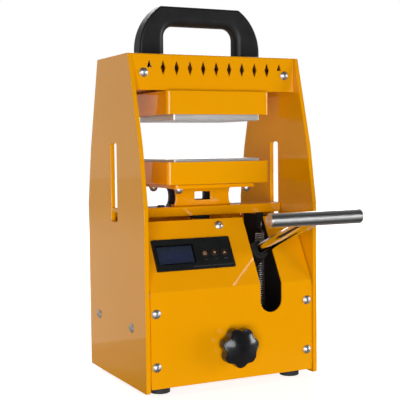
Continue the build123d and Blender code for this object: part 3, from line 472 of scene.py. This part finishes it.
# ---------------------------------------------------------------- mesh helpers
def new_piece(name, mesh, material, body):
    """An object in the scene, painted, on its body and in its material slot."""
    piece = bpy.data.objects.new(name, mesh)
    bpy.context.scene.collection.objects.link(piece)
    paint(piece, material)
    if body:
        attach(piece, body)
    return piece


def mesh_from(name, points, faces, smooth=True):
    """A mesh of points and faces."""
    mesh = bpy.data.meshes.new(name)
    mesh.from_pydata([tuple(point) for point in points], [], faces)
    mesh.validate()
    for polygon in mesh.polygons:
        polygon.use_smooth = smooth
    mesh.update()
    return mesh


def tube(path, radius, sides):
    """Points and faces of a round tube with closed ends along a path of points."""
    points, faces = [], []
    count = len(path)
    side = None
    for i, centre in enumerate(path):
        ahead = path[min(i + 1, count - 1)] - path[max(i - 1, 0)]
        ahead.normalize()
        if side is None:
            side = ahead.orthogonal().normalized()
        side = (side - ahead * side.dot(ahead)).normalized()
        other = ahead.cross(side)
        for k in range(sides):
            angle = 2 * pi * k / sides
            points.append(centre + (side * cos(angle) + other * sin(angle)) * radius)
    for i in range(count - 1):
        for k in range(sides):
            a, b = i * sides + k, i * sides + (k + 1) % sides
            faces.append((a, b, b + sides, a + sides))
    faces.append(tuple(reversed(range(sides))))
    faces.append(tuple(range((count - 1) * sides, count * sides)))
    return points, faces


def rings(rows):
    """Points and faces of a closed skin over rows of equally many points. Both ends are poles."""
    points = [rows[0][0]]
    count = len(rows[1])
    for row in rows[1:-1]:
        points += row
    points.append(rows[-1][0])
    last = len(points) - 1
    faces = []
    for k in range(count):
        after = (k + 1) % count
        faces.append((0, 1 + after, 1 + k))
        for j in range(len(rows) - 3):
            a, b = 1 + j * count + k, 1 + j * count + after
            faces.append((a, b, b + count, a + count))
        faces.append((last, last - count + k, last - count + after))
    return points, faces


def prism(outline, low, high, place):
    """Points and faces of a flat outline of (x, y) points made solid, and put in its place."""
    count = len(outline)
    points = [place @ Vector((x, y, z)) for z in (low, high) for x, y in outline]
    faces = [tuple(reversed(range(count))), tuple(range(count, 2 * count))]
    for k in range(count):
        after = (k + 1) % count
        faces.append((k, after, count + after, count + k))
    return points, faces


def ring_prism(outer, inner, low, high, place):
    """Points and faces of a flat ring."""
    sides = 40
    points, faces = [], []
    edges = ((outer, low), (outer, high), (inner, high), (inner, low))
    for radius, z in edges:
        for k in range(sides):
            angle = 2 * pi * k / sides
            points.append(place @ Vector((radius * cos(angle), radius * sin(angle), z)))
    for j in range(len(edges)):
        this, following = j * sides, (j + 1) % len(edges) * sides
        for k in range(sides):
            after = (k + 1) % sides
            faces.append((this + k, this + after, following + after, following + k))
    return points, faces


def joined(*shapes):
    """Several (points, faces) as one."""
    points, faces = [], []
    for more_points, more_faces in shapes:
        start = len(points)
        points += more_points
        faces += [tuple(start + index for index in face) for face in more_faces]
    return points, faces


def box_outline(half_x, half_y):
    """The corners of a rectangle about the origin."""
    return [(-half_x, -half_y), (half_x, -half_y), (half_x, half_y), (-half_x, half_y)]


# ---------------------------------------------------------------- return springs
SPRING_WIRE = 0.00075        # wire radius
TURN_PITCH = 0.00245
TURN_STEPS = 20              # points to a turn
EYE_RADIUS = 0.0036          # of the hooks' eyes
EYE_INSET = 0.0045           # from an anchor's tip to its hole
EYE_START, EYE_SWEEP, EYE_STEPS = 0.5 * pi, 1.65 * pi, 14


def spring_path(name):
    """A close helix between two hooks, whose eyes pass through the anchors above and below."""
    low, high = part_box(name)
    lower_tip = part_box("lower_spring_anchors")[1].z
    upper_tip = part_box("upper_spring_anchors")[0].z
    x, y = (low.x + high.x) / 2, (low.y + high.y) / 2
    radius = (high.x - low.x) / 2 - SPRING_WIRE
    length = high.z - low.z - 2 * SPRING_WIRE
    steps = round(length / TURN_PITCH) * TURN_STEPS
    coil = []
    for i in range(steps + 1):
        angle = 2 * pi * i / TURN_STEPS
        z = low.z + SPRING_WIRE + length * i / steps
        coil.append(Vector((x + radius * cos(angle), y + radius * sin(angle), z)))
    hooks = []
    for z, way in ((lower_tip - EYE_INSET, -1), (upper_tip + EYE_INSET, 1)):
        hook = []
        for i in range(EYE_STEPS + 1):
            angle = EYE_START + EYE_SWEEP * i / EYE_STEPS
            up = z - way * EYE_RADIUS * sin(angle)
            hook.append(Vector((x, y + EYE_RADIUS * cos(angle), up)))
        hooks.append(hook)
    return list(reversed(hooks[0])) + coil + hooks[1]


def make_spring(name):
    """A wound spring that stretches between the frame and the carriage."""
    mesh = mesh_from(name + "_coil", *tube(spring_path(name), SPRING_WIRE, 8))
    piece = new_piece(name + "_coil", mesh, ZINC, None)
    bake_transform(piece)
    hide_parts(name)


for name in ("left_return_spring", "right_return_spring"):
    make_spring(name)


# ---------------------------------------------------------------- star knob
LOBES, LOBE_RADIUS, LOBE_WAVE, LOBE_TURN = 7, 0.0194, 0.0016, radians(-3)
SECOND_WAVE = 0.12           # narrows the lobes, as a share of the first wave
DOME = 0.036                 # radius of the knob's domed front
HUB_RADIUS, HUB_LENGTH, HUB_CHAMFER, HUB_FILLET = 0.009, 0.0025, 0.0005, 0.0003
RIM_ROUND = 0.0015
FRONT_ROUND = RIM_ROUND * 0.8
BACK_STEPS, FRONT_STEPS = 4, 6
DOME_SHARES = (0.96, 0.9, 0.8, 0.68, 0.55, 0.42, 0.3, 0.18, 0.08)
AROUND = 140                 # points round the knob


def star_knob():
    """A moulded star knob: hub, flat back, wavy wall, rounded rim and a domed front."""
    stem_low, stem_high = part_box("valve_stem")
    low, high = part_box("valve_knob")
    x, z = (stem_low.x + stem_high.x) / 2, (stem_low.z + stem_high.z) / 2
    front, end = low.y, high.y
    back = end - HUB_LENGTH

    def dome(radius):
        """y of the domed front at a radius."""
        return front + DOME - (DOME**2 - radius**2) ** 0.5

    def row(place):
        """One ring. place gives (radius, y) for the rim's radius at each angle."""
        made = []
        for k in range(AROUND):
            turn = 2 * pi * k / AROUND
            wave = LOBES * turn
            rim = LOBE_RADIUS + LOBE_WAVE * (cos(wave) - SECOND_WAVE * cos(2 * wave))
            radius, y = place(rim)
            angle = turn + LOBE_TURN
            made.append(Vector((x + radius * sin(angle), y, z - radius * cos(angle))))
        return made

    rows = [[Vector((x, end, z))]]
    rows.append(row(lambda rim: (HUB_RADIUS - HUB_CHAMFER, end)))
    rows.append(row(lambda rim: (HUB_RADIUS, end - HUB_CHAMFER)))
    rows.append(row(lambda rim: (HUB_RADIUS, back + HUB_FILLET)))
    rows.append(row(lambda rim: (HUB_RADIUS + HUB_FILLET, back)))
    for i in range(BACK_STEPS + 1):
        a = pi / 2 * i / BACK_STEPS
        rows.append(row(lambda rim: (
            rim - RIM_ROUND * (1 - sin(a)), back - RIM_ROUND * (1 - cos(a))
        )))
    for i in range(FRONT_STEPS + 1):
        a = pi / 2 * i / FRONT_STEPS
        rows.append(row(lambda rim: (
            rim - RIM_ROUND * (1 - cos(a)), dome(rim - RIM_ROUND) + FRONT_ROUND * (1 - sin(a))
        )))
    for share in DOME_SHARES:
        rows.append(row(lambda rim: (
            (rim - RIM_ROUND) * share, dome((rim - RIM_ROUND) * share)
        )))
    rows.append([Vector((x, front, z))])
    mesh = mesh_from("star_knob", *rings(rows))
    knob = new_piece("star_knob", mesh, GLOSS, "valve")
    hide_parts("valve_knob")


star_knob()


# ---------------------------------------------------------------- control panel
def slope_normal():
    """The way the control panel faces, from the bezel's largest face."""
    faces = nodes["control_bezel"].data.polygons
    front = [face for face in faces if face.normal.y < -0.5 and face.normal.z > 0.2]
    return max(front, key=lambda face: face.area).normal.copy()


OUT = slope_normal()
ACROSS = Vector((1, 0, 0))
UP = OUT.cross(ACROSS)


def reach(name, way):
    """How far a node reaches along a way."""
    return max(vertex.co.dot(way) for vertex in nodes[name].data.vertices)


def on_face(name, level):
    """A frame across, up the slope and outwards, at a node's middle and level with a plane."""
    low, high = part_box(name)
    middle = (low + high) / 2
    place = Matrix((ACROSS, UP, OUT)).transposed().to_4x4()
    place.translation = middle + OUT * (level - middle.dot(OUT))
    return place


PRINT = 0.00004              # thickness of the print
CIRCLE_OUTER, CIRCLE_INNER = 0.0034, 0.00315
GEAR_OUTER, GEAR_INNER, GEAR_HUB = 0.0019, 0.0013, 0.0006
ARROW_HALF, ARROW_TALL = 0.00165, 0.0014
DASH_TALL, DASH_SHIFT, DASH_DROP = 0.0003, 0.0004, 0.0066
DASH_HALVES = {"menu_key": 0.0014, "down_key": 0.0012, "up_key": 0.0022}
LINE_HALF, LINE_TALL, LINE_INSET, LINE_DROP = 0.0233, 0.00022, 0.0252, 0.0148
LCD_GAP_X, LCD_GAP_UP = 0.0016, 0.0018
LCD_LOW, LCD_HIGH = -0.00024, -0.00004       # behind the window's back


def key_print(name, key, body, shapes):
    """The printed symbol on a key, with a faint circle round it."""
    place = on_face(key, reach(key, OUT))
    made = mesh_from(name, *joined(*[shape(place) for shape in shapes]), smooth=False)
    new_piece(name, made, GOLD, body)
    around = ring_prism(CIRCLE_OUTER, CIRCLE_INNER, 0, PRINT, place)
    circle = mesh_from(name + "_circle", *around, smooth=False)
    new_piece(name + "_circle", circle, RUST, body)


def arrow(way, place):
    """A small triangle that points up the slope, or down it when way is negative."""
    base = -ARROW_TALL * way
    points = [(-ARROW_HALF, base), (ARROW_HALF, base), (0, -base)]
    return prism(points if way > 0 else points[::-1], 0, PRINT, place)


key_print("menu_symbol", "menu_key", "menu_button", [
    lambda place: ring_prism(GEAR_OUTER, GEAR_INNER, 0, PRINT, place),
    lambda place: prism(box_outline(GEAR_HUB, GEAR_HUB), 0, PRINT, place),
])
key_print("down_symbol", "down_key", "down_button", [lambda place: arrow(-1, place)])
key_print("up_symbol", "up_key", "up_button", [lambda place: arrow(1, place)])


def bezel_marks():
    """Short plain dashes under the keys, and a hairline along the foot of the bezel."""
    level = reach("control_bezel", OUT)
    shapes = []
    for key, half in DASH_HALVES.items():
        place = on_face(key, level) @ Matrix.Translation((DASH_SHIFT, -DASH_DROP, 0))
        shapes.append(prism(box_outline(half, DASH_TALL), 0, PRINT, place))
    low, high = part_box("control_bezel")
    inset = Matrix.Translation(((high.x - low.x) / 2 - LINE_INSET, -LINE_DROP, 0))
    place = on_face("control_bezel", level) @ inset
    shapes.append(prism(box_outline(LINE_HALF, LINE_TALL), 0, PRINT, place))
    made = mesh_from("bezel_marks", *joined(*shapes), smooth=False)
    new_piece("bezel_marks", made, GREY, "frame")


bezel_marks()


def lcd_panel():
    """The display behind its window."""
    low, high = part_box("display_window")
    place = on_face("display_window", -reach("display_window", -OUT))
    half_x = (high.x - low.x) / 2 - LCD_GAP_X
    half_up = (high.z - low.z) / 2 / UP.z - LCD_GAP_UP
    solid = prism(box_outline(half_x, half_up), LCD_LOW, LCD_HIGH, place)
    made = mesh_from("lcd_panel", *solid, smooth=False)
    new_piece("lcd_panel", made, LCD, "frame")


lcd_panel()


# ---------------------------------------------------------------- stage, lights and camera
WHITE = (1, 1, 1)
COOL_WHITE = (0.97, 0.985, 1.0)
AIM = Vector((0, 0.04, 0.2))           # the middle of the press
LAMP_DISTANCE = 2.1
# (y of the way out, brightness) and (y on the floor, paleness), to light and reflections
WORLD_FRONT, WORLD_BACK = (-0.3, 0.03), (0.5, 0.25)
FLOOR_FRONT, FLOOR_BACK = (-0.2, 0.02), (0.1, 0.6)
FLOOR_SEEN = 0.88                      # the floor's paleness to the lens
FLOOR_NEAR, FLOOR_FAR = (0.15, 0.8), (0.55, 1.0)       # (distance from the press, glow)
FLOOR_HALF = 6.0


def area_light(name, place, target, size, power, colour=WHITE):
    """A rectangular lamp that faces its target."""
    lamp = bpy.data.lights.new(name, "AREA")
    lamp.shape = "RECTANGLE"
    lamp.size, lamp.size_y = size
    lamp.energy = power
    lamp.color = colour
    light = bpy.data.objects.new(name, lamp)
    bpy.context.scene.collection.objects.link(light)
    light.location = place
    light.rotation_euler = (Vector(target) - Vector(place)).to_track_quat("-Z", "Y").to_euler()
    return light


def seen_as(tree, value, direct):
    """value for light and reflections, and direct where the lens looks straight at it."""
    rays = tree.nodes.new("ShaderNodeLightPath")
    mixed = tree.nodes.new("ShaderNodeMapRange")
    tree.links.new(rays.outputs["Is Camera Ray"], mixed.inputs["Value"])
    tree.links.new(value, mixed.inputs["To Min"])
    mixed.inputs["To Max"].default_value = direct
    return mixed.outputs["Result"]


def studio_world():
    """A studio that is white at the back and dark in front, where the camera stands."""
    world = bpy.data.worlds.new("studio")
    bpy.context.scene.world = world
    world.use_nodes = True
    tree = world.node_tree
    background = tree.nodes["Background"]
    where = tree.nodes.new("ShaderNodeTexCoord")
    parts = tree.nodes.new("ShaderNodeSeparateXYZ")
    tree.links.new(where.outputs["Generated"], parts.inputs["Vector"])
    level = map_range(tree, parts.outputs["Y"], WORLD_FRONT, WORLD_BACK)
    background.inputs["Color"].default_value = (*WHITE, 1)
    tree.links.new(seen_as(tree, level, 1.0), background.inputs["Strength"])


def pale_floor():
    """A seamless white floor, which is dark in front to everything but the lens."""
    material = bpy.data.materials.new("pale_floor")
    material.use_nodes = True
    tree = material.node_tree
    shader = tree.nodes["Principled BSDF"]
    shader.inputs["Roughness"].default_value = 0.7
    shader.inputs["Specular IOR Level"].default_value = 0.1
    where = tree.nodes.new("ShaderNodeTexCoord")
    parts = tree.nodes.new("ShaderNodeSeparateXYZ")
    tree.links.new(where.outputs["Object"], parts.inputs["Vector"])
    level = map_range(tree, parts.outputs["Y"], FLOOR_FRONT, FLOOR_BACK)
    tone = tree.nodes.new("ShaderNodeCombineColor")
    for channel in ("Red", "Green", "Blue"):
        tree.links.new(seen_as(tree, level, FLOOR_SEEN), tone.inputs[channel])
    tree.links.new(tone.outputs["Color"], shader.inputs["Base Color"])
    rays = tree.nodes.new("ShaderNodeLightPath")
    away = tree.nodes.new("ShaderNodeVectorMath")
    away.operation = "LENGTH"
    tree.links.new(where.outputs["Object"], away.inputs[0])
    glow = map_range(tree, away.outputs["Value"], FLOOR_NEAR, FLOOR_FAR)
    seen = tree.nodes.new("ShaderNodeMath")
    seen.operation = "MULTIPLY"
    tree.links.new(glow, seen.inputs[0])
    tree.links.new(rays.outputs["Is Camera Ray"], seen.inputs[1])
    shader.inputs["Emission Color"].default_value = (*WHITE, 1)
    tree.links.new(seen.outputs["Value"], shader.inputs["Emission Strength"])
    corners = [(x, y, 0) for x, y in box_outline(FLOOR_HALF, FLOOR_HALF)]
    mesh = mesh_from("floor", corners, [(0, 1, 2, 3)])
    floor = new_piece("floor", mesh, material, None)
    floor.visible_shadow = False         # the lamps reach a little below the table's level


def softbox(name, azimuth, elevation, size, power, colour=WHITE):
    """A large lamp aimed at the press. azimuth is from the front, positive to the right."""
    turn, tilt = radians(azimuth), radians(elevation)
    away = Vector((sin(turn) * cos(tilt), -cos(turn) * cos(tilt), sin(tilt)))
    area_light(name, AIM + away * LAMP_DISTANCE, AIM, size, power, colour)


studio_world()
pale_floor()
softbox("key_left", -25, -6, (1.6, 1.4), 48, COOL_WHITE)
softbox("key_right", 66, -3, (0.8, 1.3), 24)
softbox("rear_right", 158, 28, (1.4, 1.2), 24)
for name, place, target, size, power in (
    ("rear_board", (-0.42, 0.24, 0.35), (-0.42, 0.0, 0.35), (0.6, 0.7), 0.5),
    ("low_fill", (-0.65, 0.02, 0.0), (-0.1, 0.02, 0.08), (0.5, 0.2), 0.3),
):
    area_light(name, place, target, size, power).visible_camera = False

VIEW_YAW, VIEW_PITCH, VIEW_ROLL = radians(26.306), radians(3.352), radians(0.654)
VIEW_PLACE = (-0.458215, -0.883834, 0.250703)
FOCAL_LENGTH, SENSOR_WIDTH = 84.84, 36.0       # millimetres


def view_camera():
    """The camera, placed and turned to the photograph's viewing angle."""
    data = bpy.data.cameras.new("camera")
    camera = bpy.data.objects.new("camera", data)
    bpy.context.scene.collection.objects.link(camera)
    data.sensor_width = SENSOR_WIDTH
    data.lens = FOCAL_LENGTH
    data.clip_start = 0.05
    ahead = cos(VIEW_PITCH)
    forward = Vector((sin(VIEW_YAW) * ahead, cos(VIEW_YAW) * ahead, -sin(VIEW_PITCH)))
    level = Vector((cos(VIEW_YAW), -sin(VIEW_YAW), 0))
    down = forward.cross(level)
    right = level * cos(VIEW_ROLL) + down * sin(VIEW_ROLL)
    up = level * sin(VIEW_ROLL) - down * cos(VIEW_ROLL)
    turn = Matrix((right, up, -forward)).transposed().to_4x4()
    camera.matrix_world = Matrix.Translation(VIEW_PLACE) @ turn
    return camera


scene = bpy.context.scene
scene.camera = view_camera()
scene.view_settings.view_transform = "Standard"
